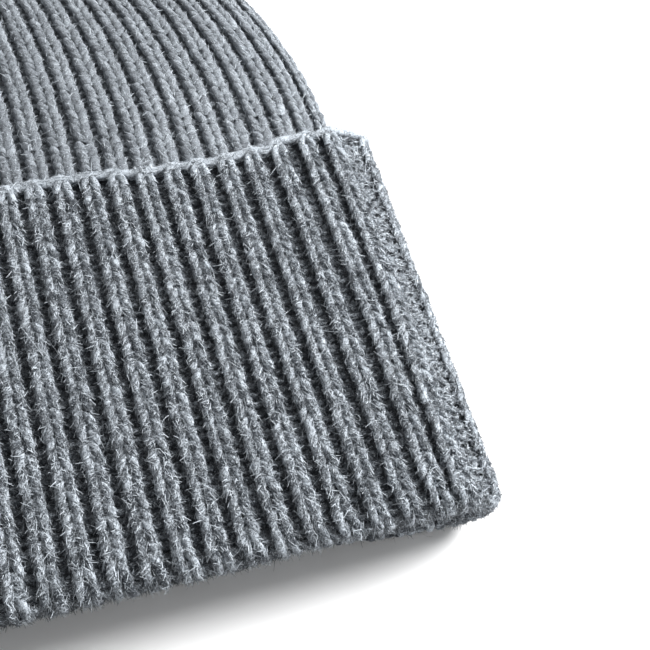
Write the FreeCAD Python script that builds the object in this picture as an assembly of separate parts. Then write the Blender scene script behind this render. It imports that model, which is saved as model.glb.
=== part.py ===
import FreeCAD, Part
import math
import os

# Knit beanie lying flat with its cuff turned up, in millimetres.
# X runs across the hat, +Y runs from the hem fold to the crown, +Z is up.
# Origin: bottom centre of the bounding box, on the surface that the hat lies on.
# Until place() moves them, the shapes have Y = 0 at the line where the cuff turns up.

# --- knitting and overall sizes ---
RIB_PITCH = 5.3          # one knit rib and the purl valley beside it
FLAT_RIBS = 36           # ribs across the flat part of the front, and again across the back
SIDE_RIBS = 5            # ribs around each rounded side
CUFF_HEIGHT = 80.0       # hem fold to cast-on edge
CROWN_START = 90.0       # where the decreases begin
CROWN_TOP = 196.6        # top of the drawn-together crown
FABRIC = 2.8             # thickness of one layer of rib
LAYER_GAP = 0.35         # air between the cuff and the body
MOUTH_GAP = 4.8          # height left open inside the flattened hat
HEM_RECESS = 5.0         # how far the back's hem lies behind the front's

# --- layers, as radii around the rounded sides ---
FLAT_HALF = RIB_PITCH * FLAT_RIBS / 2
BODY_IN = MOUTH_GAP / 2
BODY_OUT = BODY_IN + FABRIC
CUFF_IN = BODY_OUT + LAYER_GAP
CUFF_OUT = CUFF_IN + FABRIC
MID_Z = CUFF_OUT
BODY_HALF = FLAT_HALF + BODY_OUT

# --- hem fold and the line that the cuff turns about ---
FOLD_REACH = (CUFF_OUT - BODY_IN) / 2
FOLD_CENTRE = (CUFF_OUT + BODY_IN) / 2
CLEARANCE = 0.3
HINGE_Y = -(FOLD_REACH / 2)
HINGE_R = (CUFF_IN + CUFF_OUT) / 2
BEAD_R = FABRIC / 2
NECK_HALF = 0.9

# --- edge, seams and yarn ---
EDGE_HEIGHT = 2.2
SEAM_WIDTH = 1.6
SEAM_DEPTH = 1.2
GATHER_R = 2.2
GATHER_LENGTH = 9.0
GATHER_PROUD = 1.4
TAIL_R = 0.9

# --- crown, as sections: Y, centre height, outer radius of the rounded side ---
CROWN_SECTIONS = [
    (90.0, MID_Z, BODY_OUT),
    (100.0, 7.9, 5.7),
    (110.0, 7.4, 6.1),
    (120.0, 7.0, 6.4),
    (130.0, 6.6, 6.6),
    (145.0, 6.6, 6.6),
    (162.0, 6.6, 6.6),
    (171.0, 6.5, 6.5),
    (180.0, 6.3, 6.3),
    (188.0, 5.9, 5.9),
    (193.0, 5.4, 5.4),
    (196.6, 4.8, 4.8),
]
CROWN_ELLIPSE = 107.4    # length of the half ellipse that the crown's outline follows
GORE_HALF = 48.0         # half width of the front and back gores at the start of the crown

TOTAL_TOP = CROWN_TOP + GATHER_PROUD
Y_SHIFT = -(TOTAL_TOP - FOLD_REACH) / 2
FAR = 400.0


def vec(x, y, z):
    return FreeCAD.Vector(x, y, z)


def box(x0, x1, y0, y1, z0, z1):
    return Part.makeBox(x1 - x0, y1 - y0, z1 - z0, vec(x0, y0, z0))


def crown_half_width(y):
    """Half width of the crown's outline at a height above the hem."""
    share = (y - CROWN_START) / CROWN_ELLIPSE
    return BODY_HALF * math.sqrt(max(1 - share * share, 0))


def stadium(half_width, radius, y, z):
    """Flat oval across the hat: two straight runs joined by half circles."""
    s = half_width - radius
    top = Part.makeLine(vec(-s, y, z + radius), vec(s, y, z + radius))
    right = Part.Arc(
        vec(s, y, z + radius), vec(s + radius, y, z), vec(s, y, z - radius)
    ).toShape()
    bottom = Part.makeLine(vec(s, y, z - radius), vec(-s, y, z - radius))
    left = Part.Arc(
        vec(-s, y, z - radius), vec(-s - radius, y, z), vec(-s, y, z + radius)
    ).toShape()
    return Part.Wire([top, right, bottom, left])


def upper(shape):
    return shape.common(box(-FAR, FAR, -FAR, FAR, MID_Z, FAR))


def lower(shape):
    return shape.common(box(-FAR, FAR, -FAR, FAR, -FAR, MID_Z))


def to_back(shape):
    """The same shape on the back of the hat."""
    return shape.mirror(vec(0, 0, MID_Z), vec(0, 0, 1))


def about_side(shape, sign, angle):
    """Turns a shape from the front around a rounded side: 0 is the front, 180 is the back."""
    turned = shape.copy()
    turned.rotate(vec(sign * FLAT_HALF, 0, MID_Z), vec(0, 1, 0), sign * angle)
    return turned


def hem_offset(index):
    """Where the hem lies at a side rib, on its way from the front's hem to the back's."""
    return HEM_RECESS * ((index + 0.5) / SIDE_RIBS) ** 2


def sector(sign, start, end, y0, y1):
    """Wedge of space beside the hat, between two angles from the front."""
    reach = 2 * CUFF_OUT / math.cos(math.radians((end - start) / 2))
    corners = [vec(sign * FLAT_HALF, y0, MID_Z)]
    for angle in (start, end):
        radians = math.radians(angle)
        x = sign * (FLAT_HALF + reach * math.sin(radians))
        corners.append(vec(x, y0, MID_Z + reach * math.cos(radians)))
    return Part.Face(Part.makePolygon(corners + corners[:1])).extrude(vec(0, y1 - y0, 0))


def body_tube():
    """The tube below the crown, cut off along the hem."""
    outer = Part.Face(stadium(BODY_HALF, BODY_OUT, 0, MID_Z))
    inner = Part.Face(stadium(BODY_HALF - FABRIC, BODY_IN, 0, MID_Z))
    tube = outer.cut(inner).extrude(vec(0, CROWN_START, 0))
    beyond = [box(-FLAT_HALF, FLAT_HALF, -1, HEM_RECESS, -1, MID_Z)]
    step = 180 / SIDE_RIBS
    for sign in (1, -1):
        for index in range(SIDE_RIBS):
            beyond.append(sector(sign, index * step, (index + 1) * step, -1, hem_offset(index)))
    return tube.cut(beyond)


def seam_strip(stations, width, depth):
    """Strip sunk into the inside face of the back, through stations (Y, height of that face)."""
    wires = []
    for y, z in stations:
        half = width / 2
        corners = [
            vec(-half, y, z - depth),
            vec(half, y, z - depth),
            vec(half, y, z),
            vec(-half, y, z),
        ]
        wires.append(Part.makePolygon(corners + corners[:1]))
    return Part.makeLoft(wires, True, True)


def fold_profile():
    """Section of the hem fold in the Y-Z plane at the front: half a roll, and the bead inside it."""
    roll = Part.Face(Part.Wire(Part.makeCircle(FOLD_REACH, vec(0, 0, FOLD_CENTRE), vec(1, 0, 0))))
    keep = Part.Face(
        Part.makePolygon(
            [
                vec(0, -FAR, 0),
                vec(0, 0, 0),
                vec(0, 0, CUFF_IN - CLEARANCE),
                vec(0, -FAR, CUFF_IN - CLEARANCE),
                vec(0, -FAR, 0),
            ]
        )
    )
    bead = Part.Face(Part.Wire(Part.makeCircle(BEAD_R, vec(0, HINGE_Y, HINGE_R), vec(1, 0, 0))))
    neck = Part.Face(
        Part.makePolygon(
            [
                vec(0, HINGE_Y - NECK_HALF, FOLD_CENTRE - 1),
                vec(0, HINGE_Y + NECK_HALF, FOLD_CENTRE - 1),
                vec(0, HINGE_Y + NECK_HALF, HINGE_R - 1),
                vec(0, HINGE_Y - NECK_HALF, HINGE_R - 1),
                vec(0, HINGE_Y - NECK_HALF, FOLD_CENTRE - 1),
            ]
        )
    )
    return roll.common(keep).fuse([bead, neck]).removeSplitter()


def hem_fold(base, side_offsets):
    """One face's hem fold, with a quarter turn around each side in short steps along the hem."""
    profile = fold_profile()
    profile.translate(vec(-FLAT_HALF, base, MID_Z))
    pieces = [profile.extrude(vec(2 * FLAT_HALF, 0, 0))]
    step = 180 / SIDE_RIBS
    for sign in (1, -1):
        angle = 0
        for offset in side_offsets:
            turn = min(step, 90 - angle)
            end = fold_profile()
            end.translate(vec(sign * FLAT_HALF, offset, MID_Z))
            wedge = end.revolve(vec(sign * FLAT_HALF, 0, MID_Z), vec(0, 1, 0), sign * turn)
            pieces.append(about_side(wedge, sign, angle))
            angle += turn
    return pieces[0].fuse(pieces[1:]).removeSplitter()


def cuff_flap():
    """Flat part of the cuff's front, below its cast-on edge."""
    half = FLAT_HALF - CLEARANCE / 2
    return box(-half, half, CLEARANCE, CUFF_HEIGHT - EDGE_HEIGHT, MID_Z + CUFF_IN, MID_Z + CUFF_OUT)


def cast_on_edge():
    """Rounded chain of loops along the top of the cuff."""
    half = FLAT_HALF - CLEARANCE / 2
    bottom = CUFF_HEIGHT - EDGE_HEIGHT
    bar = box(-half, half, bottom, CUFF_HEIGHT, MID_Z + CUFF_IN, MID_Z + CUFF_OUT)
    top_edges = [
        e for e in bar.Edges
        if e.BoundBox.XLength > FLAT_HALF and e.BoundBox.YMin > CUFF_HEIGHT - 0.01
    ]
    return bar.makeFillet(FABRIC / 2 - 0.1, top_edges)


def side_rib(sign, index):
    """One rib of the cuff on a rounded side, from the hem fold to the cast-on edge."""
    step = 180 / SIDE_RIBS
    half = CUFF_IN * math.tan(math.radians(step / 2)) - CLEARANCE / 2
    x = sign * FLAT_HALF
    rib = box(x - half, x + half, CLEARANCE, CUFF_HEIGHT, MID_Z + CUFF_IN - 1, MID_Z + CUFF_OUT + 1)
    ring = Part.makeCylinder(CUFF_OUT, CUFF_HEIGHT, vec(x, 0, MID_Z), vec(0, 1, 0))
    core = Part.makeCylinder(CUFF_IN, CUFF_HEIGHT, vec(x, 0, MID_Z), vec(0, 1, 0))
    rib = rib.common(ring).cut(core)
    rib.translate(vec(0, hem_offset(index), 0))
    return about_side(rib, sign, (index + 0.5) * step)


def crown_shell():
    outer = []
    inner = []
    for y, z, radius in CROWN_SECTIONS:
        width = max(crown_half_width(y), radius + 0.5)
        outer.append(stadium(width, radius, y, z))
        if y < CROWN_TOP - FABRIC:
            inner.append(stadium(width - FABRIC, radius - FABRIC, y, z))
    return Part.makeLoft(outer, True, True).cut(Part.makeLoft(inner, True, True))


def crown_gores(shell):
    """The crown's four gores, which meet along the decrease lines."""
    wedge = Part.Face(
        Part.makePolygon(
            [
                vec(-GORE_HALF, CROWN_START, -1),
                vec(GORE_HALF, CROWN_START, -1),
                vec(0, CROWN_TOP + 6, -1),
                vec(-GORE_HALF, CROWN_START, -1),
            ]
        )
    ).extrude(vec(0, 0, 60))
    middle = shell.common(wedge)
    sides = shell.cut(wedge)
    split_z = 6.6
    gores = {
        "crown_gore_front": middle.common(box(-FAR, FAR, -FAR, FAR, split_z, FAR)),
        "crown_gore_back": middle.common(box(-FAR, FAR, -FAR, FAR, -FAR, split_z)),
        "crown_gore_right": sides.common(box(0, FAR, -FAR, FAR, -FAR, FAR)),
        "crown_gore_left": sides.common(box(-FAR, 0, -FAR, FAR, -FAR, FAR)),
    }
    return gores


def gather_yarn():
    centre = vec(0, TOTAL_TOP - GATHER_LENGTH, CROWN_SECTIONS[-1][1])
    puck = Part.makeCylinder(GATHER_R, GATHER_LENGTH, centre, vec(0, 1, 0))
    rim = [e for e in puck.Edges if e.BoundBox.YMin > TOTAL_TOP - 0.01]
    return puck.makeFillet(0.8, rim)


def yarn_tail():
    """End of the gathering yarn, left lying on the inside of the crown."""
    height = FABRIC + TAIL_R + 0.2
    points = [vec(5, 183, height), vec(9, 174, height), vec(22, 160, height), vec(28, 146, height)]
    path = Part.BSplineCurve()
    path.interpolate(points)
    wire = Part.Wire(path.toShape())
    start = Part.Wire(Part.makeCircle(TAIL_R, points[0], path.tangent(path.FirstParameter)[0]))
    return wire.makePipeShell([start], True, True)


def place(shape):
    placed = shape.copy()
    placed.translate(vec(0, Y_SHIFT, 0))
    return placed


def moved_back(shape):
    """A shape of the front's cuff as it lies on the back."""
    moved = to_back(shape)
    moved.translate(vec(0, HEM_RECESS, 0))
    return moved


def only_solid(shape):
    solids = shape.Solids
    if len(solids) != 1:
        raise ValueError(f"expected one solid, found {len(solids)}")
    return solids[0]


def main():
    os.makedirs("parts", exist_ok=True)
    nodes = {}

    tube = body_tube()
    inside_stations = [(HEM_RECESS + 1, MID_Z - BODY_IN), (CROWN_START, MID_Z - BODY_IN)]
    for y, z, radius in CROWN_SECTIONS[1:]:
        if y < 186:
            inside_stations.append((y, z - radius + FABRIC))
    back_seam = seam_strip(inside_stations, SEAM_WIDTH, SEAM_DEPTH)
    nodes["body_front"] = upper(tube)
    nodes["body_back"] = lower(tube).cut(back_seam)
    nodes["back_seam_yarn"] = back_seam

    half_way = (SIDE_RIBS + 1) // 2
    offsets = [hem_offset(index) for index in range(SIDE_RIBS)]
    nodes["hem_fold_front"] = hem_fold(0, offsets[:half_way])
    nodes["hem_fold_back"] = to_back(hem_fold(HEM_RECESS, offsets[::-1][:half_way]))

    nodes["cuff_front"] = cuff_flap()
    nodes["cast_on_edge_front"] = cast_on_edge()
    seam_start = HEM_RECESS + CLEARANCE
    seam_end = HEM_RECESS + CUFF_HEIGHT - EDGE_HEIGHT
    inside = MID_Z - CUFF_IN
    cuff_seam = seam_strip([(seam_start, inside), (seam_end, inside)], SEAM_WIDTH, SEAM_DEPTH)
    nodes["cuff_back"] = moved_back(cuff_flap()).cut(cuff_seam)
    nodes["cast_on_edge_back"] = moved_back(cast_on_edge())
    nodes["cuff_seam_yarn"] = cuff_seam
    for side, sign in (("right", 1), ("left", -1)):
        for index in range(SIDE_RIBS):
            nodes[f"cuff_side_rib_{side}_{index + 1}"] = side_rib(sign, index)

    gather = gather_yarn()
    for name, gore in crown_gores(crown_shell()).items():
        nodes[name] = gore.cut(gather).cut(back_seam)
    nodes["crown_gather_yarn"] = gather
    nodes["crown_yarn_tail"] = yarn_tail()

    for name, shape in nodes.items():
        place(only_solid(shape)).exportStep(f"parts/{name}.step")


main()
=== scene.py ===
import math

import bpy
import numpy as np
from mathutils import Matrix, Vector


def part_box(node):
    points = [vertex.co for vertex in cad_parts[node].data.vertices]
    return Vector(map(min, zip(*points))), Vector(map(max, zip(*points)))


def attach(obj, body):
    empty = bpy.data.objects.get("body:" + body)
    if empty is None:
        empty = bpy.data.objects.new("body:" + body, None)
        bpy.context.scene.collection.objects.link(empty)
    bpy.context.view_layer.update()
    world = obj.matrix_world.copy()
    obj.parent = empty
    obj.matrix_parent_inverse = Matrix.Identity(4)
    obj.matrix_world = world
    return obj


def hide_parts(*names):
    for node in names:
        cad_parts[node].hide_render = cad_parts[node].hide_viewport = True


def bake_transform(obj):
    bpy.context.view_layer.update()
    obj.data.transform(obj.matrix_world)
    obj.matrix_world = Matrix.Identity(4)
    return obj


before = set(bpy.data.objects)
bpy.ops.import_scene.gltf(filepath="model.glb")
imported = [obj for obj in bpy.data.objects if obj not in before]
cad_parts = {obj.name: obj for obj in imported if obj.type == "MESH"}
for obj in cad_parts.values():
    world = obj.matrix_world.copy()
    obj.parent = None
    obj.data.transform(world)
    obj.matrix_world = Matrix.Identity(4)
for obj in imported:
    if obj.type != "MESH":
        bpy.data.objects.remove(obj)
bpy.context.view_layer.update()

# Everything is worked out in millimetres in the row frame. Meshes, lights and the camera get metres.
MM = 0.001
rng = np.random.default_rng(11)

# ------------------------------------------------------------------ sizes read from the frame


def low_high(node):
    """The lowest and highest corner of a CAD node's box."""
    low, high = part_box(node)
    return np.array(low) / MM, np.array(high) / MM


cuff_lo, cuff_hi = low_high("cuff_front")
back_lo = low_high("cuff_back")[0]
edge_hi = low_high("cast_on_edge_front")[1]
body_lo, body_hi = low_high("body_front")
crown_hi = low_high("crown_gore_front")[1]
gather_lo, gather_hi = low_high("crown_gather_yarn")

FABRIC = cuff_hi[2] - cuff_lo[2]
MID_Z = (cuff_hi[2] + back_lo[2]) / 2
CUFF_R = (cuff_lo[2] + cuff_hi[2]) / 2 - MID_Z
BODY_R = body_hi[2] - FABRIC / 2 - MID_Z
FLAT_HALF = body_hi[0] - BODY_R - FABRIC / 2
HEM_Y = body_lo[1]
RECESS = back_lo[1] - cuff_lo[1]
CUFF_H = edge_hi[1] - HEM_Y
BODY_LEN = body_hi[1] - HEM_Y
CROWN_Y = body_hi[1]
CROWN_TOP = crown_hi[1]
FOLD_RHO = (CUFF_R - BODY_R) / 2
FOLD_R = (CUFF_R + BODY_R) / 2
FOLD_LEN = math.pi * FOLD_RHO

# ------------------------------------------------------------------ knitting

FLAT_RIBS = 36
SIDE_RIBS = 5
HALF_FLAT = FLAT_RIBS // 2
TO_BACK = HALF_FLAT + SIDE_RIBS
RIBS = 2 * (FLAT_RIBS + SIDE_RIBS)
QUARTER = RIBS / 4
PITCH = 2 * FLAT_HALF / FLAT_RIBS
ROW = 1.9
# Stitch heights are written for a fabric this thick, and DEPTH brings them to the CAD's.
DRAWN_FABRIC = 3.2
DEPTH = FABRIC / DRAWN_FABRIC
# The part of the cuff's height that the cast-on edge and the turn at the hem take.
EDGE_ROOM = 3.4
CUFF_ROWS = int(round((CUFF_H - EDGE_ROOM) / ROW))
FOLD_ROWS = 3
BODY_ROWS = int(round(BODY_LEN / ROW))
CROWN_ROWS = 62

# ------------------------------------------------------------------ the hat's surface


def smooth(a, b, x):
    t = np.clip((x - a) / (b - a), 0, 1)
    return t * t * (3 - 2 * t)


def wrapped(u):
    """Rib position counted both ways from the front's middle."""
    return (u + RIBS / 2) % RIBS - RIBS / 2


# How far around the side each rib lies, in ribs from the flat front and in degrees.
# The fabric between the first and the second side rib is stretched open.
SIDE_AT = np.array([0.0, 0.5, 0.8, 1.2, 1.5, 2.0, 2.5, 3.5, 4.5, 5.0])
SIDE_PHI = np.radians([0.0, 14.0, 24.0, 54.0, 64.0, 79.0, 95.0, 128.0, 162.0, 180.0])


def side_table():
    """The same angles, eased so that the fabric has no corners."""
    at = np.linspace(-1.0, 6.0, 701)
    rough = np.interp(at, SIDE_AT, SIDE_PHI)
    spread = np.exp(-0.5 * (np.arange(-40, 41) / 14.0) ** 2)
    eased = np.convolve(np.pad(rough, 40, mode="edge"), spread / spread.sum(), mode="valid")
    ends = smooth(0.0, 0.3, at) * (1 - smooth(4.7, 5.0, at))
    return at, rough * (1 - ends) + eased * ends


EASED_AT, EASED_PHI = side_table()


def side_angle(u):
    """How far around the side rib position u lies: 0 in front, and half a turn at the back."""
    return np.interp(np.abs(wrapped(u)) - FLAT_RIBS / 2, EASED_AT, EASED_PHI)


def around(u, radius, spread=0.0):
    """Point (x, z from the middle) of the flat oval at rib position u."""
    u = wrapped(u)
    a = np.abs(u)
    half = FLAT_RIBS / 2
    phi = side_angle(u)
    x_front = np.minimum(a, half) * PITCH
    x_back = FLAT_HALF - np.maximum(a - half - SIDE_RIBS, 0) * PITCH
    x = np.where(a <= half + SIDE_RIBS, x_front + (radius + spread) * np.sin(phi), x_back)
    return np.sign(u) * x, radius * np.cos(phi)


# How much of the back hem's recess the hem has, at ribs beyond the flat front.
RECESS_AT = (0.0, 1.5, 5.0, 7.0, 10.0)
RECESS_SHARE = (0.0, 0.05, 0.36, 0.46, 1.0)


def hem_offset(u):
    """How far the hem lies behind the front's hem: the lower layer's corner comes forward under the front."""
    a = np.abs(wrapped(u)) - FLAT_RIBS / 2
    return RECESS * np.interp(a, RECESS_AT, RECESS_SHARE)


# How far the front's ribs are drawn towards the middle, at distances from it.
DRAWN_AT = (0, 40, 60, 75, 85)
DRAWN_BY = (0, 1.2, 1.7, 1.9, 1.8)


def front_shift(u, x, y):
    """How far the front is drawn towards the middle, most near the hem, as if smoothed down by hand."""
    low = 1 - smooth(5, 35, y)
    ax = np.abs(x)
    shift = np.interp(ax, DRAWN_AT, DRAWN_BY)
    near_side = np.interp(ax, (85, 92, 97), (0, 1, 1))
    shift = shift - near_side * (0.1 + 0.9 * (1 - low))
    front = 1 - smooth(math.radians(24), math.radians(54), side_angle(u))
    return np.sign(u) * shift * front


# How far the cast-on edge waves up or down along the cuff, at distances from the middle.
EDGE_X = (0, 45, 53, 58, 65, 73, 80, 85.7, 88.5, 96, 108)
EDGE_Y = (0, 0, -0.1, -1.1, -1.8, -2.2, -1.6, -1.3, 0.4, 0.7, 0.7)


def pillow_tables():
    """Arc-length tables of a soft flat oval, as shares of its half width and half height."""
    t = np.linspace(0, math.pi / 2, 1500)
    x = 100.0 * np.sin(t) ** (2 / 3.0)
    z = 6.0 * np.cos(t) ** (2 / 2.2)
    arc = np.concatenate([[0], np.cumsum(np.hypot(np.diff(x), np.diff(z)))])
    return arc / arc[-1], x / 100.0, z / 6.0


PIL_A, PIL_X, PIL_Z = pillow_tables()
# Ribs on each side of the front's middle that keep their pitch, and the pitch that the others
# narrow to at the side.
PLAIN = 18.0
SLIM = 3.2


def arc_share(a):
    """How far around a quarter of the hat a rib lies: even at the front, closer together at the side."""
    extra = np.maximum(a - PLAIN, 0)
    full_extra = QUARTER - PLAIN
    run = PITCH * a - (PITCH - SLIM) / (2 * full_extra) * extra**2
    full = PITCH * QUARTER - (PITCH - SLIM) / 2 * full_extra
    return run / full


def pillow(u):
    """Shares of half width and half height for rib position u on the soft oval."""
    u = wrapped(u)
    a = np.abs(u)
    back = a > QUARTER
    share = arc_share(np.where(back, 2 * QUARTER - a, a))
    x = np.interp(share, PIL_A, PIL_X)
    z = np.interp(share, PIL_A, PIL_Z)
    return np.sign(u) * x, np.where(back, -z, z)


# The crown's outline is half an ellipse: half its width, and its height.
CROWN_W = FLAT_HALF + BODY_R
CROWN_B = (CROWN_TOP - CROWN_Y) + 0.6
ALPHA = np.linspace(0, math.radians(87.5), 240)
XS = np.linspace(0, 1, 41)


def crown_table():
    """Ellipse angle for every share of the way up the crown, at each share of the half width."""
    speed = np.sqrt((XS[:, None] * CROWN_W * np.sin(ALPHA)) ** 2 + (CROWN_B * np.cos(ALPHA)) ** 2)
    step = (speed[:, 1:] + speed[:, :-1]) / 2 * np.diff(ALPHA)
    run = np.concatenate([np.zeros((len(XS), 1)), np.cumsum(step, axis=1)], axis=1)
    share = run / run[:, -1:]
    return np.array([np.interp(np.linspace(0, 1, 200), s, ALPHA) for s in share])


ALPHA_OF = crown_table()


def crown_alpha(x_share, t):
    """Ellipse angle on a rib's way up the crown, so that its rows are evenly spaced."""
    xi = np.clip(np.abs(x_share), 0, 1) * (len(XS) - 1)
    i0 = np.minimum(xi.astype(int), len(XS) - 2)
    fx = xi - i0
    ti = np.clip(t, 0, 1) * (ALPHA_OF.shape[1] - 1)
    j0 = np.minimum(ti.astype(int), ALPHA_OF.shape[1] - 2)
    ft = ti - j0
    lo = ALPHA_OF[i0, j0] * (1 - ft) + ALPHA_OF[i0, j0 + 1] * ft
    hi = ALPHA_OF[i0 + 1, j0] * (1 - ft) + ALPHA_OF[i0 + 1, j0 + 1] * ft
    return lo * (1 - fx) + hi * fx


# Distance up the crown, height of its middle, and half the distance between its two layers' middles.
CROWN_STATIONS = np.array(
    [
        (0.0, MID_Z, BODY_R),
        (10.0, 7.9, 4.3),
        (20.0, 7.4, 4.7),
        (30.0, 7.0, 5.0),
        (40.0, 6.7, 5.2),
        (72.0, 6.6, 5.2),
        (81.0, 6.5, 5.0),
        (90.0, 6.3, 4.8),
        (98.0, 5.9, 4.3),
        (103.0, 5.4, 3.5),
        (107.0, 4.8, 2.4),
    ]
)

# How far the cuff's top edge spreads at the sides.
FLARE = 3.0


def waves(x, y):
    """Gentle unevenness of a hat that has been laid down by hand."""
    return (
        0.45 * np.sin(x / 31.0 + 0.8) * np.cos(y / 37.0 + 0.4)
        + 0.3 * np.sin(x / 17.0 - y / 23.0 + 2.0)
        + 0.18 * np.sin(x / 9.0 + y / 13.0)
    )


# Where each stretch of fabric begins along m, which runs from the cast-on edge to the top of the crown.
M_FOLD = CUFF_H
M_BODY = M_FOLD + FOLD_LEN
M_CROWN = M_BODY + BODY_LEN
CROWN_RUN = CROWN_ROWS * ROW
M_END = M_CROWN + CROWN_RUN


def middle(u, m):
    """Point of the fabric's middle surface at rib position u and distance m from the cast-on edge."""
    u, m = np.broadcast_arrays(np.asarray(u, float), np.asarray(m, float))
    out = np.zeros(u.shape + (3,))
    # cuff and fold
    theta = np.clip((m - M_FOLD) / FOLD_LEN, 0, 1) * math.pi
    up_cuff = np.clip(1 - m / M_FOLD, 0, 1)
    x1, z1 = around(u, FOLD_R + FOLD_RHO * np.cos(theta), FLARE * up_cuff)
    offset = hem_offset(u)
    run = np.clip((m - M_BODY) / BODY_LEN, 0, 1)
    y_cuff = offset + M_FOLD - m + np.interp(np.abs(x1), EDGE_X, EDGE_Y) * np.clip(1 - m / 40, 0, 1) ** 1.5
    y_fold = offset - FOLD_RHO * np.sin(theta)
    y_body = offset + (BODY_LEN - offset) * run
    y = np.where(m <= M_FOLD, y_cuff, np.where(m < M_BODY, y_fold, y_body))
    on_front = (np.abs(wrapped(u)) < FLAT_RIBS / 2 + 1.3) & (m < M_BODY)
    x1 = x1 - np.where(on_front, front_shift(u, x1, y) * (1 - theta / math.pi), 0.0)
    # body: the plain oval at the hem eases into the soft oval
    px, pz = pillow(u)
    beta = smooth(8, 84, y) * (m > M_BODY)
    x = x1 * (1 - beta) + px * CROWN_W * beta
    z = MID_Z + z1 * (1 - beta) + pz * BODY_R * beta
    # crown
    alpha = crown_alpha(px, (m - M_CROWN) / CROWN_RUN)
    yc = CROWN_B * np.sin(alpha)
    zc = np.interp(yc, CROWN_STATIONS[:, 0], CROWN_STATIONS[:, 1])
    rc = np.interp(yc, CROWN_STATIONS[:, 0], CROWN_STATIONS[:, 2])
    up = m > M_CROWN
    x = np.where(up, px * CROWN_W * np.cos(alpha), x)
    y = np.where(up, BODY_LEN + yc, y)
    z = np.where(up, zc + pz * rc, z)
    front = np.clip((z - MID_Z + 2.0) / 6.0, 0, 1)
    out[..., 0] = x
    out[..., 1] = HEM_Y + y + 0.35 * np.sin(x / 26.0 + 1.2) * (1 - smooth(0, 60, np.abs(y)))
    out[..., 2] = z + waves(x, y) * front
    return out


def surface(u, m):
    """The middle surface and its normal, which points out of the cuff and into the hat."""
    e = 0.02
    p = middle(u, m)
    du = middle(u + e, m) - middle(u - e, m)
    dm = middle(u, m + e) - middle(u, m - e)
    n = np.cross(dm, du)
    n /= np.maximum(np.linalg.norm(n, axis=-1, keepdims=True), 1e-9)
    return p, n


def wale_width(u, m):
    """Real distance between ribs at this place."""
    e = 0.05
    d = middle(u + e, m) - middle(u - e, m)
    return np.linalg.norm(d, axis=-1) / (2 * e)


# ------------------------------------------------------------------ yarn


def unit(v):
    """The same directions with length 1."""
    return v / np.maximum(np.linalg.norm(v, axis=-1, keepdims=True), 1e-9)


# Nothing reaches further down than this, as the hat lies on a table.
LOWEST = -0.2


def quad_mesh(name, verts, faces, materials, attributes=(), slots=None):
    """A smooth mesh of four-sided faces, with values for each vertex and a material slot for each face."""
    verts[:, 2] = np.maximum(verts[:, 2], LOWEST)
    me = bpy.data.meshes.new(name)
    me.vertices.add(len(verts))
    me.vertices.foreach_set("co", np.ascontiguousarray(verts * MM, np.float32).ravel())
    me.loops.add(len(faces) * 4)
    me.loops.foreach_set("vertex_index", np.ascontiguousarray(faces, np.int32).ravel())
    me.polygons.add(len(faces))
    me.polygons.foreach_set("loop_start", np.arange(0, len(faces) * 4, 4, dtype=np.int32))
    me.polygons.foreach_set("loop_total", np.full(len(faces), 4, np.int32))
    me.polygons.foreach_set("use_smooth", np.ones(len(faces), bool))
    for material in materials:
        me.materials.append(material)
    if slots is not None:
        me.polygons.foreach_set("material_index", np.ascontiguousarray(slots, np.int32))
    for key, values in dict(attributes).items():
        attribute = me.attributes.new(key, "FLOAT", "POINT")
        attribute.data.foreach_set("value", np.ascontiguousarray(values, np.float32))
    me.update(calc_edges=True)
    me.validate()
    ob = bpy.data.objects.new(name, me)
    bpy.context.scene.collection.objects.link(ob)
    return ob


# Short fibres lie on the yarn. A small share of them is long and curls away from it, and is mostly light.
SHORT_FIBRES = {"length": (0.4, 1.6), "rise": (0.0, 0.2), "curl": 0.25, "width": 0.115, "points": 2}
STRAY_FIBRES = {"length": (2.5, 8.0), "rise": (0.03, 0.16), "curl": 3.2, "width": 0.075, "points": 14}
STRAY_SHARE = 0.0012
FEWER_STRAYS = 0.0005
STRAY_SHADE = -0.5


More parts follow.
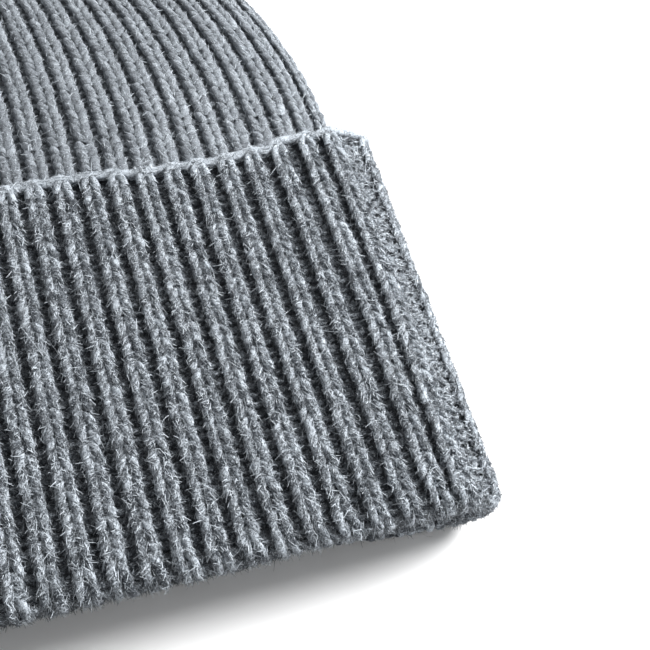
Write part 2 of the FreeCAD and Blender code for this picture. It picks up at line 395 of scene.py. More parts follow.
class Yarn:
    """Tubes of yarn with loose fibres on them."""

    def __init__(self):
        self.verts, self.faces, self.along, self.tone, self.roots = [], [], [], [], []
        self.count = 0

    def tubes(self, path, normal, flat, deep, sides, tone, fibres=0, shade=0.0):
        """path and normal are (n, k, 3). flat and deep are the radii along the fabric and out of it."""
        n, k, _ = path.shape
        if n == 0:
            return
        tangent = unit(np.gradient(path, axis=1))
        side = unit(np.cross(tangent, normal))
        out = np.cross(side, tangent)
        phi = np.arange(sides) / sides * 2 * math.pi
        ring = (
            path[:, :, None, :]
            + (flat[..., None] * np.cos(phi))[..., None] * side[:, :, None, :]
            + (deep[..., None] * np.sin(phi))[..., None] * out[:, :, None, :]
        )
        step = np.linalg.norm(np.diff(path, axis=1), axis=-1)
        run = np.concatenate([np.zeros((n, 1)), np.cumsum(step, axis=1)], axis=1)
        along = np.repeat(run[:, :, None], sides, axis=2)
        turn = np.broadcast_to(np.arange(sides) / sides, (n, k, sides))
        base = self.count + np.arange(n)[:, None, None] * (k * sides)
        i = np.arange(k - 1)[None, :, None] * sides
        j = np.arange(sides)[None, None, :]
        jn = (j + 1) % sides
        quad = np.stack([base + i + j, base + i + jn, base + i + sides + jn, base + i + sides + j], axis=-1)
        self.faces.append(quad.reshape(-1, 4))
        self.verts.append(ring.reshape(-1, 3))
        self.along.append(np.stack([along, turn], axis=-1).reshape(-1, 2))
        self.tone.append(np.repeat(tone, k * sides))
        self.count += n * k * sides
        if fibres:
            row = np.arange(n)[:, None]
            at = rng.uniform(0, k - 1.001, (n, fibres))
            low = at.astype(int)
            part = (at - low)[..., None]
            angle = rng.uniform(-0.1, 1.1, (n, fibres))[..., None] * math.pi
            centre = path[row, low] * (1 - part) + path[row, low + 1] * part
            across = np.cos(angle) * side[row, low]
            away = np.sin(angle) * out[row, low]
            place = centre + flat[row, low][..., None] * across + deep[row, low][..., None] * away
            root = np.concatenate([place, unit(across + away), tangent[row, low]], axis=-1)
            self.roots.append(np.concatenate([root, np.full((n, fibres, 1), shade)], axis=-1).reshape(-1, 10))

    def mesh(self, name, material):
        """All the tubes as one piece."""
        along = np.concatenate(self.along)
        values = {"tone": np.concatenate(self.tone), "along": along[:, 0], "turn": along[:, 1]}
        return quad_mesh(name, np.concatenate(self.verts), np.concatenate(self.faces), [material], values)

    def fibre_mesh(self, name, strays=STRAY_SHARE, materials=None):
        """Short fibres that lie on the yarn, and a few long ones that curl away from it."""
        roots = np.concatenate(self.roots)
        verts, faces, slots = lay_fibres(roots, **SHORT_FIBRES)
        long_ones = roots[rng.random(len(roots)) < strays]
        long_ones[:, 9] = STRAY_SHADE
        more = lay_fibres(long_ones, **STRAY_FIBRES)
        faces = np.concatenate([faces, more[1] + len(verts)])
        verts = np.concatenate([verts, more[0]])
        slots = np.concatenate([slots, more[2]])
        return quad_mesh(name, verts, faces, materials or MAT_FIBRES, slots=slots)


def lay_fibres(roots, length, rise, curl, width, points):
    """Ribbons that start at the roots and run roughly along the yarn."""
    n = len(roots)
    place, normal, tangent, shade = roots[:, 0:3], roots[:, 3:6], roots[:, 6:9], roots[:, 9]
    angle = (rng.normal(0, 1, n) * np.where(shade > 0.2, 1.6, 0.7))[:, None]
    way = np.where(rng.random(n) < 0.5, -1.0, 1.0)[:, None]
    run = way * (tangent * np.cos(angle) + np.cross(normal, tangent) * np.sin(angle))
    aside = np.cross(normal, run)
    size = (length[0] + (length[1] - length[0]) * rng.random(n) ** 1.6)[:, None, None]
    bend = (rng.normal(0, curl, n))[:, None, None] + 1e-4
    lift = rng.uniform(*rise, n)
    lift = np.where(rng.random(n) < 0.06, lift * 3.0, lift)[:, None, None]
    t = np.linspace(0, 1, points)[None, :, None]
    path = (
        place[:, None, :]
        + run[:, None, :] * size * np.sin(bend * t) / bend
        + aside[:, None, :] * size * (1 - np.cos(bend * t)) / bend
        + normal[:, None, :] * (0.05 + size * lift * np.sin(t * math.pi * 0.6))
    )
    roll = rng.normal(0, 0.45, n)[:, None, None]
    across = np.cos(roll) * aside[:, None, :] + np.sin(roll) * normal[:, None, :]
    half = width / 2 * rng.uniform(0.7, 1.2, n)[:, None, None] * (1 - 0.55 * t)
    verts = np.stack([path - across * half, path + across * half], axis=2).reshape(-1, 3)
    base = np.arange(n)[:, None] * (2 * points)
    i = np.arange(points - 1)[None, :] * 2
    faces = np.stack([base + i, base + i + 1, base + i + 3, base + i + 2], axis=-1).reshape(-1, 4)
    # shade moves the pick towards the dark fibres, as painted shade in the valleys and at the hem; below zero
    # it moves it towards the light ones, as painted light at the cast-on edge and the stretched side valley.
    pick = rng.random(n) + 0.42 * shade
    slots = np.where(pick > 0.64, 0, np.where(pick > 0.30, 1, 2))
    return verts, faces, np.repeat(slots, points - 1)


def in_fabric(u, m, du, h):
    """Local places in space: du is millimetres across the rib, h millimetres out of the middle."""
    width = wale_width(u, m)
    p, n = surface(u + du / np.maximum(width, 0.8), m)
    return p + n * (h * DEPTH)[..., None], n


# Where the rings of a stitch's leg lie along it, for a leg of five or six rings.
LEG_T = {5: np.array([0.0, 0.22, 0.5, 0.78, 1.0]), 6: np.array([0.0, 0.16, 0.38, 0.62, 0.84, 1.0])}


def knit_stitches(
    yarn, u, m, face, rings=6, sides=6, wide=1.0, thick=1.0,
    fibres=0, tone=0.5, swing=0.8, inner=0.34, vary=0.22,
):
    """Two slanted legs for every stitch.

    u and m are flat arrays, and face is 1 outside the cuff and -1 on the other face. swing is how deep
    a leg's ends sink, inner how close the two legs start, and vary how uneven the legs are.
    """
    n = len(u)
    t = LEG_T[rings]
    for side in (-1, 1):
        jitter = rng.normal(0, 1, (n, 7))
        row = ROW * (1 + 0.05 * jitter[:, 0])
        dm = (-0.42 + 1.52 * t)[None, :] * row[:, None] + 0.16 * jitter[:, 1][:, None]
        du = side * (inner + (1.16 - inner) * np.sin(t * 1.75) ** 1.1)[None, :] * wide
        du = du + 0.1 * jitter[:, 2][:, None] * wide
        h = 1.08 - swing + swing * np.sin(math.pi * (0.14 + 0.70 * t)) ** 0.9
        h = h[None, :] + 0.4 * vary * jitter[:, 3][:, None] - 0.2 * hem_turn(m)[:, None] * (face > 0)
        size = (0.40 + 0.60 * np.sin(math.pi * (0.1 + 0.8 * t)) ** 0.7)[None, :]
        size = size * (1 + 0.4 * vary * jitter[:, 4][:, None]) * thick
        uu = np.repeat(u[:, None], len(t), axis=1)
        path, normal = in_fabric(uu, m[:, None] + dm, du, face * h)
        shade = np.clip(tone + vary * jitter[:, 5], 0, 1)
        yarn.tubes(path, normal * face, 0.72 * size, 0.60 * size * DEPTH, sides, shade, fibres, 0.0)


def hem_turn(m):
    """1 where the fabric turns at the hem, which pulls the ribs flat there."""
    return smooth(M_FOLD - 1.2, M_FOLD + 1.2, m) * (1 - smooth(M_BODY - 1.0, M_BODY + 1.0, m))


def purl_bumps(yarn, u, m, face, sides=5, wide=1.0, rings=5, fibres=0, lift=0.0, shade_of=1.0, tone=0.22):
    """The sunken row of loops between two ribs. By default its yarn and fibres are darker than the legs:
    painted shade in the valley.
    """
    n = len(u)
    lift = lift + 0.8 * hem_turn(m)[:, None] * (face > 0)
    t = np.linspace(-1, 1, rings)
    bow = np.cos(t * math.pi / 2)
    for part in (0, 1):
        jitter = rng.normal(0, 1, (n, 5))
        du = t[None, :] * 1.5 * wide + 0.1 * jitter[:, 0][:, None]
        arch = 0.36 if part == 0 else -0.32
        dm = arch * ROW * bow[None, :] + part * 0.5 * ROW + 0.16 * jitter[:, 1][:, None]
        h = (-0.72 + 0.34 * bow * (1 if part == 0 else 0.2))[None, :] + 0.1 * jitter[:, 2][:, None] + lift
        size = (0.52 * (0.75 + 0.25 * bow))[None, :] * (1 + 0.12 * jitter[:, 3][:, None]) * min(wide, 1.0)
        uu = np.repeat(u[:, None], len(t), axis=1)
        path, normal = in_fabric(uu, m[:, None] + dm, du, face * h)
        shade = np.clip(tone + 0.16 * jitter[:, 4], 0, 1)
        yarn.tubes(path, normal * face, size, size, sides, shade, fibres, shade_of)


def grid_of(ribs, rows):
    """Every rib at every row, as flat arrays."""
    u, m = np.meshgrid(np.asarray(ribs, float), np.asarray(rows, float), indexing="ij")
    return u.ravel(), m.ravel()


def ground(name, u0, u1, m0, m1, per_rib=8, step=2.4, material=None):
    """The knit's ground behind the stitches: one sheet, pushed out at the ribs and in between them. By
    default it has the dark ground wool and a low tone: painted shade in the deep behind the stitches.
    """
    us = np.linspace(u0, u1, int(round((u1 - u0) * per_rib)) + 1)
    ms = np.linspace(m0, m1, max(int(round((m1 - m0) / step)), 2) + 1)
    u, m = np.meshgrid(us, ms, indexing="ij")
    p, n = surface(u, m)
    co = p - n * ((0.12 + 0.42 * np.cos(2 * math.pi * u)) * DEPTH)[..., None]
    rows, cols = u.shape
    i = np.arange(rows - 1)[:, None] * cols
    j = np.arange(cols - 1)[None, :]
    faces = np.stack([i + j, i + j + 1, i + cols + j + 1, i + cols + j], axis=-1).reshape(-1, 4)
    values = {"tone": np.full(rows * cols, 0.3), "along": m.ravel(), "turn": u.ravel()}
    return quad_mesh(name, co.reshape(-1, 3), faces, [material or MAT_GROUND_PAINTED_SHADE], values)


# ------------------------------------------------------------------ materials


def wool(name, dark, light, speckle=1.0, sheen=0.3, stops=(0.68, 0.80, 0.94)):
    """Heather wool: light and dark fibres along a twisted yarn."""
    mat = bpy.data.materials.new(name)
    mat.use_nodes = True
    nt = mat.node_tree
    nodes, links = nt.nodes, nt.links
    bsdf = nodes["Principled BSDF"]

    def attribute(key):
        node = nodes.new("ShaderNodeAttribute")
        node.attribute_name = key
        return node.outputs["Fac"]

    def maths(operation, a, b):
        node = nodes.new("ShaderNodeMath")
        node.operation = operation
        for index, value in enumerate((a, b)):
            if isinstance(value, (int, float)):
                node.inputs[index].default_value = value
            else:
                links.new(value, node.inputs[index])
        return node.outputs[0]

    coords = nodes.new("ShaderNodeTexCoord")

    def noise(scale, detail, rough=0.6, vector=None, distortion=0.0):
        node = nodes.new("ShaderNodeTexNoise")
        node.inputs["Scale"].default_value = scale
        node.inputs["Detail"].default_value = detail
        node.inputs["Roughness"].default_value = rough
        node.inputs["Distortion"].default_value = distortion
        links.new(vector or coords.outputs["Object"], node.inputs["Vector"])
        return node.outputs["Fac"]

    # fibres run along the yarn and wind around it
    join = nodes.new("ShaderNodeCombineXYZ")
    wind = maths("ADD", maths("MULTIPLY", attribute("turn"), 6.0), maths("MULTIPLY", attribute("along"), 2.2))
    links.new(wind, join.inputs[0])
    links.new(maths("MULTIPLY", attribute("along"), 0.9), join.inputs[1])
    links.new(maths("MULTIPLY", attribute("tone"), 37.0), join.inputs[2])
    fibre = noise(2.2, 2.0, 0.65, join.outputs[0], 0.3)
    fine = noise(3300.0, 2.0, 0.7)
    broad = noise(420.0, 2.0, 0.5)
    total = maths("ADD", maths("MULTIPLY", fibre, 0.48), maths("MULTIPLY", fine, 0.87 * speckle))
    total = maths("ADD", total, maths("MULTIPLY", broad, 0.25))
    # The tone attribute shifts the colour: it varies at random from stitch to stitch, and is lowered as
    # painted shade in the valleys, at the hem and on the ground, and raised as painted light at the cast-on
    # edge and the stretched side valley.
    total = maths("ADD", total, maths("MULTIPLY", maths("SUBTRACT", attribute("tone"), 0.5), 0.35))
    ramp = nodes.new("ShaderNodeValToRGB")
    ramp.color_ramp.elements[0].position = stops[0]
    ramp.color_ramp.elements[0].color = (*dark, 1)
    ramp.color_ramp.elements[1].position = stops[2]
    ramp.color_ramp.elements[1].color = (*light, 1)
    middle_stop = ramp.color_ramp.elements.new(stops[1])
    middle_stop.color = (*[0.62 * d + 0.38 * b for d, b in zip(dark, light)], 1)
    links.new(total, ramp.inputs[0])
    links.new(ramp.outputs[0], bsdf.inputs["Base Color"])
    links.new(maths("ADD", maths("MULTIPLY", fine, 0.15), 0.80), bsdf.inputs["Roughness"])
    bsdf.inputs["Specular IOR Level"].default_value = 0.2
    bsdf.inputs["Sheen Weight"].default_value = sheen
    bsdf.inputs["Sheen Roughness"].default_value = 0.45
    bsdf.inputs["Sheen Tint"].default_value = (0.85, 0.9, 1.0, 1)
    bump = nodes.new("ShaderNodeBump")
    bump.inputs["Strength"].default_value = 0.8
    bump.inputs["Distance"].default_value = 0.00022
    links.new(maths("ADD", fine, fibre), bump.inputs["Height"])
    links.new(bump.outputs[0], bsdf.inputs["Normal"])
    return mat


def fibre_wool(name, colour):
    """Single wool fibres of one dye, too thin to show a pattern."""
    mat = bpy.data.materials.new(name)
    mat.use_nodes = True
    bsdf = mat.node_tree.nodes["Principled BSDF"]
    bsdf.inputs["Base Color"].default_value = (*colour, 1)
    bsdf.inputs["Roughness"].default_value = 0.65
    bsdf.inputs["Specular IOR Level"].default_value = 0.3
    bsdf.inputs["Sheen Weight"].default_value = 0.2
    bsdf.inputs["Sheen Roughness"].default_value = 0.4
    return mat


MAT_YARN = wool("wool_yarn", (0.024, 0.029, 0.035), (0.42, 0.462, 0.505))
# The body's and the crown's yarn, with less contrast and lighter darks. Its light end is raised a little as
# painted light, since the crown lies further from the lamp.
MAT_SOFT = wool("wool_yarn_soft", (0.08, 0.089, 0.10), (0.325, 0.357, 0.388), 0.7, stops=(0.52, 0.72, 0.92))
# Near-black wool for the ground behind the cuff's stitches: painted shade in the deep between them.
MAT_GROUND_PAINTED_SHADE = wool("wool_ground_painted_shade", (0.02, 0.023, 0.027), (0.10, 0.112, 0.125), 1.0, 0.05)
MAT_FIBRES = [
    fibre_wool("wool_fibre_dark", (0.042, 0.049, 0.057)),
    fibre_wool("wool_fibre_grey", (0.185, 0.203, 0.222)),
    fibre_wool("wool_fibre_light", (0.47, 0.515, 0.56)),
]
MAT_SOFT_FIBRES = [
    fibre_wool("wool_soft_fibre_dark", (0.075, 0.084, 0.094)),
    fibre_wool("wool_soft_fibre_grey", (0.19, 0.21, 0.23)),
    fibre_wool("wool_soft_fibre_light", (0.41, 0.45, 0.49)),
]

# ------------------------------------------------------------------ the cuff

# Every piece by its name.
made = {}
# Each stretch of the cuff: its body, its name, and the rib positions at its ends.
cuff_groups = [
    ("cuff_front_flap", "cuff_front", -HALF_FLAT, HALF_FLAT),
    ("cuff_back_flap", "cuff_back", TO_BACK, RIBS - TO_BACK),
]
for index in range(SIDE_RIBS):
    for side, u_from in (("right", HALF_FLAT + index), ("left", -HALF_FLAT - 1 - index)):
        side_rib = f"cuff_side_{side}_{index + 1}"
        cuff_groups.append((side_rib, side_rib, u_from, u_from + 1))


def edge_loops(yarn, ribs, fibres):
    """The cast-on edge: a thick band along the top, and a round arch over every rib. The band and the arches
    have lighter yarn and fibres than the cuff: painted light where the rolled edge catches the lamp. The
    band's other face has somewhat darker fibres: painted shade.
    """
    for u0 in ribs:
        jitter = rng.normal(0, 1, 5)
        t = np.linspace(-0.5, 0.5, 9)
        arch = np.cos(t * 2 * math.pi) * 0.5 + 0.5
        size = (0.84 + 0.06 * arch)[None] * (1 + 0.05 * jitter[2])
        # band
        m = 1.1 - 0.4 * arch + 0.1 * jitter[0]
        h = 0.8 + 0.25 * arch + 0.05 * jitter[1]
        path, normal = in_fabric((u0 + t)[None], m[None], np.zeros((1, 9)), h[None])
        yarn.tubes(path, normal, size, size * DEPTH, 6, np.array([0.88]), fibres, -0.45)
        # arch
        s = np.linspace(-1, 1, 9)
        du = 1.18 * np.sign(s) * np.abs(s) ** 0.6
        m = 1.45 + 2.9 * np.abs(s) ** 2.4 + 0.1 * jitter[3]
        h = 1.25 - 0.3 * np.abs(s)
        path, normal = in_fabric(np.full((1, 9), u0), m[None], du[None], h[None])
        yarn.tubes(path, normal, size * 0.85, size * 0.8 * DEPTH, 6, np.array([0.8]), fibres, -0.35)
        # the band's other face
        m = 1.2 + 0.3 * arch + 0.1 * jitter[4]
        h = -0.35 - 0.5 * (1 - arch)
        path, normal = in_fabric((u0 + t)[None], m[None], np.zeros((1, 9)), h[None])
        yarn.tubes(path, -normal, size, size * DEPTH, 6, np.array([0.5]), fibres // 2, 0.2)


def valleys_of(u_from, u_to):
    """A flat flap has a valley at both ends. A side rib has the one at its start, unless a flap has it."""
    if u_to - u_from > 2:
        return np.arange(u_from, u_to + 1, 1.0)
    return [] if abs(u_from) in (HALF_FLAT, TO_BACK) else [float(u_from)]


# The valley that is stretched open at the side.
SIDE_OPEN = HALF_FLAT + 1


def open_valley(yarn, at, rows, fibres):
    """Purl loops that fill the stretched valley, in three uneven columns. Their yarn and fibres are lighter
    than the cuff's: painted light where the side faces the lamp.
    """
    for across, down in ((-0.15, 0.0), (0.0, 0.4), (0.15, -0.3)):
        u, m = grid_of([at + across], rows + down * ROW)
        m = m + rng.normal(0, 0.25, len(m))
        purl_bumps(yarn, u, m, 1, wide=0.64, fibres=fibres, lift=0.75, shade_of=-0.1, tone=0.7)


# How the cuff's ribs are knitted on the outside, and the lower tone of the hem's yarn: painted shade where
# the ribs turn under.
CUFF_RIB = {"wide": 0.98, "thick": 0.98, "swing": 0.64, "inner": 0.28}
HEM_PAINTED_SHADE_TONE = 0.4
# Fibres on each leg of a stitch, each purl loop and each loop of the edge.
# The back lies face down and has few.
MANY_FIBRES = (84, 52, 120)
FEW_FIBRES = (12, 8, 30)

for body, name, u_from, u_to in cuff_groups:
    leg, bump, rim = FEW_FIBRES if name == "cuff_back" else MANY_FIBRES
    ribs = np.arange(u_from + 0.5, u_to, 1.0)
    yarn = Yarn()
    rows = CUFF_H - 0.9 - ROW * (np.arange(CUFF_ROWS)[::-1] + 0.5)
    knit_stitches(yarn, *grid_of(ribs, rows), 1, fibres=leg, **CUFF_RIB)
    if abs(u_from) == SIDE_OPEN:
        open_valley(yarn, u_from, np.arange(2.6, CUFF_H - 0.6, ROW), bump)
    else:
        purl_bumps(yarn, *grid_of(valleys_of(u_from, u_to), rows), 1, fibres=bump)
    knit_stitches(yarn, *grid_of(valleys_of(u_from, u_to), rows), -1, rings=5, sides=5, fibres=3)
    purl_bumps(yarn, *grid_of(ribs, rows), -1, sides=4, rings=4, fibres=2)
    edge_loops(yarn, ribs, rim)
    made[name + "_knit"] = yarn.mesh(name + "_knit", MAT_YARN)
    made[name + "_fibres"] = yarn.fibre_mesh(name + "_fibres")
    made[name + "_ground"] = ground(name + "_ground", u_from, u_to, 1.6, CUFF_H - 0.4)
    for part in ("_knit", "_fibres", "_ground"):
        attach(made[name + part], body)

    # the hem fold below this stretch of the cuff, with darker yarn and fibres than the cuff: painted shade
    # where it turns under
    yarn = Yarn()
    rows = M_FOLD - 0.4 + (np.arange(FOLD_ROWS + 1)) * (FOLD_LEN + 0.8) / (FOLD_ROWS + 0.5)
    knit_stitches(yarn, *grid_of(ribs, rows), 1, fibres=leg, tone=HEM_PAINTED_SHADE_TONE, **CUFF_RIB)
    purl_bumps(yarn, *grid_of(valleys_of(u_from, u_to), rows), 1, fibres=2 * bump, shade_of=0.5, tone=0.35)
    if abs(u_from) == SIDE_OPEN:
        open_valley(yarn, u_from, rows, bump)
    made[name + "_hem"] = yarn.mesh(name + "_hem", MAT_YARN)
    made[name + "_hem_fibres"] = yarn.fibre_mesh(name + "_hem_fibres")
    made[name + "_hem_ground"] = ground(
        name + "_hem_ground", u_from, u_to, M_FOLD - 0.5, M_BODY + 0.5, step=0.8
    )
    mid_u = np.array([(u_from + u_to) / 2])
    inner = middle(mid_u, np.array([M_BODY]))[0] * MM
    outer = middle(mid_u, np.array([M_FOLD]))[0] * MM
    for part in ("_hem", "_hem_fibres", "_hem_ground"):
        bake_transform(made[name + part])

# ------------------------------------------------------------------ the body and the crown

BODY_RIBS = np.arange(RIBS) - RIBS / 2
# The inside face is knitted this far up from the opening. Beyond it nothing can be seen.
INSIDE_SEEN = 46
# The body's outer face is finely knitted from this far below the cuff's top edge.
UNDER_CUFF = 10


def smooth_ribs(yarn, ribs, rows, every=1):
    """Ribs on the body's and the crown's outer face, narrower where they crowd together. The loops between
    the ribs have somewhat darker yarn and fibres than the legs: painted shade in the valleys.
    """
    u, m = grid_of(ribs, rows)
    room = np.clip(wale_width(u, m) * every / PITCH, 0.35, 1.1)
    for low, high in ((0.0, 0.5), (0.5, 0.62), (0.62, 0.75), (0.75, 0.88), (0.88, 9.0)):
        pick = (room >= low) & (room < high)
        if pick.any():
            fit = float(room[pick].mean())
            knit_stitches(
                yarn, u[pick], m[pick], -1, wide=1.04 * fit, thick=0.2 + 1.3 * fit,
                fibres=int(10 + 26 * fit), tone=0.6, swing=0.24, inner=0.2, vary=0.1,
            )
    u, m = grid_of(ribs + every / 2, rows)
    room = np.clip(wale_width(u, m) * every / PITCH, 0.35, 1.1)
    for low, high in ((0.0, 0.7), (0.7, 9.0)):
        pick = (room >= low) & (room < high)
        if pick.any():
            fit = float(np.clip(room[pick].mean(), 0.5, 1.0))
            purl_bumps(yarn, u[pick], m[pick], -1, wide=fit, fibres=12, lift=0.45, tone=0.45, shade_of=0.3)


rows = M_BODY + 0.9 + ROW * np.arange(BODY_ROWS)
shown = rows > M_BODY + CUFF_H - UNDER_CUFF
yarn = Yarn()
smooth_ribs(yarn, BODY_RIBS, rows[shown])
knit_stitches(yarn, *grid_of(BODY_RIBS, rows[~shown]), -1, rings=5, sides=5, wide=1.2, thick=1.2)
purl_bumps(yarn, *grid_of(BODY_RIBS + 0.5, rows[~shown]), -1, sides=4, rings=4)
made["body_knit"] = yarn.mesh("body_knit", MAT_SOFT)
made["body_fibres"] = yarn.fibre_mesh("body_fibres", FEWER_STRAYS, MAT_SOFT_FIBRES)

# the inside face, near the opening
near = rows < M_BODY + INSIDE_SEEN
yarn = Yarn()
knit_stitches(yarn, *grid_of(BODY_RIBS + 0.5, rows[near]), 1, rings=5, sides=5, fibres=2)
purl_bumps(yarn, *grid_of(BODY_RIBS, rows[near]), 1, sides=4, rings=4, fibres=1)
made["body_inside_knit"] = yarn.mesh("body_inside_knit", MAT_YARN)
made["body_inside_fibres"] = yarn.fibre_mesh("body_inside_fibres")
made["body_ground"] = ground("body_ground", -RIBS / 2, RIBS / 2, M_BODY, M_CROWN, material=MAT_SOFT)

# The crown's ribs join in pairs twice on the way up: first row, last row, and how many ribs have become one.
CROWN_LEVELS = ((0, 40, 1), (40, 54, 2), (54, 62, 4))
yarn = Yarn()
for row_from, row_to, every in CROWN_LEVELS:
    rows = M_CROWN + 0.9 + ROW * np.arange(row_from, row_to)
    ribs = np.arange(0, RIBS, every) - RIBS / 2 + (every - 1) / 2
    smooth_ribs(yarn, ribs, rows, every)
made["crown_knit"] = yarn.mesh("crown_knit", MAT_SOFT)
made["crown_fibres"] = yarn.fibre_mesh("crown_fibres", FEWER_STRAYS, MAT_SOFT_FIBRES)
made["crown_ground"] = ground("crown_ground", -RIBS / 2, RIBS / 2, M_CROWN, M_END, material=MAT_SOFT)


def seam(name, m_from, m_to, face, depth):
    """Mattress stitch along the centre back: one small slanted stitch for every row, from side to side."""
    yarn = Yarn()
    rows = np.arange(m_from, m_to, ROW)
    t = np.linspace(-1, 1, 5)
    way = np.where(np.arange(len(rows)) % 2 == 0, 1.0, -1.0)[:, None]
    m = rows[:, None] + 0.7 * ROW * t[None, :]
    du = way * 0.75 * t[None, :]
    h = (depth + 0.35 * np.cos(t * math.pi / 2))[None, :] + 0.0 * m
    path, normal = in_fabric(np.full_like(m, RIBS / 2), m, du, face * h)
    size = (0.42 * (0.7 + 0.3 * np.cos(t * math.pi / 2)))[None, :] + 0.0 * m
    yarn.tubes(path, normal * face, size, size, 6, np.full(len(rows), 0.5), 3)
    made[name] = yarn.mesh(name, MAT_YARN)
    made[name + "_fibres"] = yarn.fibre_mesh(name + "_fibres")


seam("back_seam_stitches", M_BODY + 2.5, M_CROWN + 0.9 * CROWN_RUN, 1, 0.75)
seam("cuff_seam_stitches", 2.5, M_FOLD - 1.5, -1, 0.75)


GATHER_TURNS = 3
GATHER_RINGS = 61
GATHER_YARN_R = 0.58
# The drawn-in stitches in the gather's middle, as rings: share of its radius, and how many.
DRAWN_IN = ((0.62, 9), (0.25, 4))


def gather_yarn():
    """The yarn that draws the last stitches together, wound round the top of the crown."""
    yarn = Yarn()
    centre = (gather_lo + gather_hi) / 2
    reach = (gather_hi[0] - gather_lo[0]) / 2
    t = np.linspace(0, 1, GATHER_RINGS)
    angle = t * 2 * math.pi * GATHER_TURNS
    radius = reach * (0.86 - 0.45 * t)
    y = gather_hi[1] - 2.6 + 2.0 * t
    path = np.stack([radius * np.cos(angle), y, centre[2] + radius * np.sin(angle)], axis=-1)
    size = np.full((1, GATHER_RINGS), GATHER_YARN_R)
    out = np.stack([np.cos(angle), 0.6 + 0.0 * angle, np.sin(angle)], axis=-1)
    yarn.tubes(path[None], unit(out)[None], size, size, 6, np.array([0.6]), 60)
    for ring, count in DRAWN_IN:
        a = np.arange(count) / count * 2 * math.pi
        s = np.linspace(0, 1, 5)
        r = reach * (ring + 0.3 * (1 - s[None, :])) + 0.0 * a[:, None]
        y = gather_hi[1] - 4.5 + 4.0 * np.sin(s * 1.5)[None, :] + 0.0 * a[:, None]
        path = np.stack([r * np.cos(a)[:, None], y, centre[2] + r * np.sin(a)[:, None]], axis=-1)
        out = np.stack([np.cos(a), 0.8 + 0.0 * a, np.sin(a)], axis=-1)
        size = np.full((count, 5), 0.6)
        yarn.tubes(path, unit(out)[:, None, :] + 0.0 * path, size, size, 6, np.full(count, 0.5), 10)
    made["crown_gather_loops"] = yarn.mesh("crown_gather_loops", MAT_YARN)
    made["crown_gather_fibres"] = yarn.fibre_mesh("crown_gather_fibres")


# The loose end of the gathering yarn: the points of its route, in metres.
TAIL_ROUTE = (
    (0.005, 0.08549, 0.0039),
    (0.009, 0.07649, 0.0039),
    (0.022, 0.06249, 0.0039),
    (0.028, 0.04849, 0.0039),
)
# The two strands that it is spun from: radius, distance from the yarn's middle, and the length of one turn.
STRAND_R = 0.45
STRAND_OUT = 0.42
STRAND_TURN = 3.1


def route_line(points):
    """The places, in metres, along the smooth line of a route."""
    curve = bpy.data.curves.new("route", "CURVE")
    curve.dimensions = "3D"
    spline = curve.splines.new("NURBS")
    spline.points.add(len(points) - 1)
    for knot, place in zip(spline.points, points):
        knot.co = (*place, 1.0)
    spline.order_u = 3
    spline.use_endpoint_u = True
    spline.resolution_u = 64
    carrier = bpy.data.objects.new("route", curve)
    line = bpy.data.meshes.new_from_object(carrier)
    places = np.array([vertex.co[:] for vertex in line.vertices])
    bpy.data.objects.remove(carrier)
    bpy.data.curves.remove(curve)
    bpy.data.meshes.remove(line)
    return places


def yarn_tail():
    """The yarn's end, left lying on the inside of the crown's back."""
    yarn = Yarn()
    line = route_line(TAIL_ROUTE)
    middle = line / MM
    up = np.zeros(middle.shape) + np.array([0.0, 0.0, 1.0])
    side = unit(np.cross(np.gradient(middle, axis=0), up))
    run = np.concatenate([[0.0], np.cumsum(np.linalg.norm(np.diff(middle, axis=0), axis=1))])
    size = np.full((1, len(middle)), STRAND_R)
    for start in (0.0, math.pi):
        twist = (run / STRAND_TURN * 2 * math.pi + start)[:, None]
        path = middle + STRAND_OUT * (np.cos(twist) * side + np.sin(twist) * up)
        yarn.tubes(path[None], up[None], size, size, 6, np.array([0.6]), 40)
    made["crown_tail_yarn"] = yarn.mesh("crown_tail_yarn", MAT_YARN)
    made["crown_tail_fibres"] = yarn.fibre_mesh("crown_tail_fibres")


gather_yarn()
yarn_tail()

for name in (
    "body_knit", "body_fibres", "body_inside_knit", "body_inside_fibres", "body_ground",
    "crown_knit", "crown_fibres", "crown_ground", "back_seam_stitches", "back_seam_stitches_fibres",
    "crown_gather_loops", "crown_gather_fibres", "crown_tail_yarn", "crown_tail_fibres",
):
    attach(made[name], "hat_body")
for name in ("cuff_seam_stitches", "cuff_seam_stitches_fibres"):
    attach(made[name], "cuff_back_flap")

# ------------------------------------------------------------------ which CAD nodes the pieces stand for

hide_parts("cuff_front", "cast_on_edge_front")
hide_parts("cuff_back", "cast_on_edge_back")
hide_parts("cuff_seam_yarn")
for side in ("right", "left"):
    for index in range(1, SIDE_RIBS + 1):
        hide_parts(f"cuff_side_rib_{side}_{index}")
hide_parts("hem_fold_front")
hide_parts("hem_fold_back")
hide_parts("body_front", "body_back")
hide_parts("back_seam_yarn")
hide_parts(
    "crown_gore_front", "crown_gore_back", "crown_gore_left", "crown_gore_right",
)
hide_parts("crown_gather_yarn")
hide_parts("crown_yarn_tail")

# ------------------------------------------------------------------ the cuff's pieces by end


def declare_cloth():
    """Gathers each end's cuff pieces with the side ribs on its side; nothing more is done with them."""
    for end in ("front", "back"):
        parts = ("_knit", "_fibres", "_hem", "_hem_fibres", "_hem_ground")
        carried = [made[f"cuff_{end}{part}"] for part in parts]
        side = "right" if end == "front" else "left"
        for index in range(1, SIDE_RIBS + 1):
            for part in ("_ground", *parts):
                carried.append(made[f"cuff_side_{side}_{index}{part}"])


declare_cloth()

# ------------------------------------------------------------------ floor, light and camera

# The floor lies a hair below the lowest stitches.
FLOOR_SIZE = 6
FLOOR_Z = -0.0003
FLOOR_COLOUR = (0.93, 0.93, 0.93, 1)
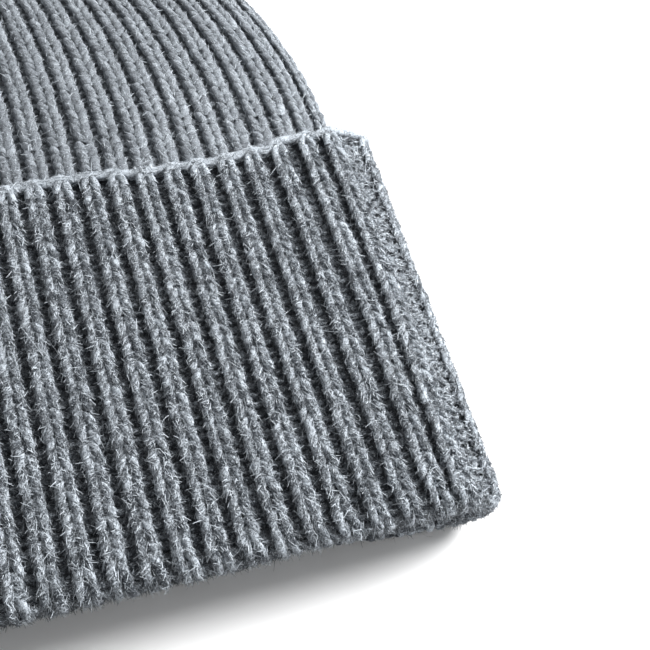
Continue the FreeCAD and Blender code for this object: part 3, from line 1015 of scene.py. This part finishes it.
# Soft light from all sides, and one lamp low on the right, in metres and watts.
SKY_LIGHT = 0.46
KEY_PLACE = (0.350, -0.012, 0.236)
KEY_TARGET = (0.06, -0.04, 0.01)
KEY_SIZE = 0.24
KEY_POWER = 4.25

floor_mat = bpy.data.materials.new("floor")
floor_mat.use_nodes = True
floor_bsdf = floor_mat.node_tree.nodes["Principled BSDF"]
floor_bsdf.inputs["Base Color"].default_value = FLOOR_COLOUR
floor_bsdf.inputs["Roughness"].default_value = 0.9
bpy.ops.mesh.primitive_plane_add(size=FLOOR_SIZE, location=(0, 0, FLOOR_Z))
floor = bpy.context.active_object
floor.name = "floor"
floor.data.materials.append(floor_mat)

world = bpy.data.worlds.new("studio")
bpy.context.scene.world = world
world.use_nodes = True
background = world.node_tree.nodes["Background"]
background.inputs["Color"].default_value = (1, 1, 1, 1)
background.inputs["Strength"].default_value = SKY_LIGHT


def area_light(name, location, target, size, power):
    """A round lamp that faces the target."""
    data = bpy.data.lights.new(name, "AREA")
    data.shape = "DISK"
    data.size = size
    data.energy = power
    ob = bpy.data.objects.new(name, data)
    bpy.context.scene.collection.objects.link(ob)
    ob.location = location
    direction = Vector(target) - Vector(location)
    ob.rotation_euler = direction.to_track_quat("-Z", "Y").to_euler()


area_light("key", KEY_PLACE, KEY_TARGET, KEY_SIZE, KEY_POWER)

# A close view from above the opening, turned so that the ribs run from the upper left to the lower right.
SENSOR = 36.0
LENS = 61.1003
RIGHT = Vector((0.9506, -0.2970, 0.0901))
UP = Vector((0.2048, 0.8182, 0.5372))
BACKWARD = Vector((-0.2333, -0.4922, 0.8387))
EYE = Vector((37.0698, HEM_Y - 60.4980, 180.3527))

camera_data = bpy.data.cameras.new("camera")
camera = bpy.data.objects.new("camera", camera_data)
bpy.context.scene.collection.objects.link(camera)
bpy.context.scene.camera = camera
camera_data.sensor_width = SENSOR
camera_data.lens = LENS
camera_data.clip_start = 0.01
turn = Matrix((RIGHT.normalized(), UP.normalized(), BACKWARD.normalized())).transposed()
camera.matrix_world = Matrix.Translation(EYE * MM) @ turn.to_4x4()

bpy.context.scene.view_settings.view_transform = "Standard"
bpy.context.scene.view_settings.exposure = 0.0
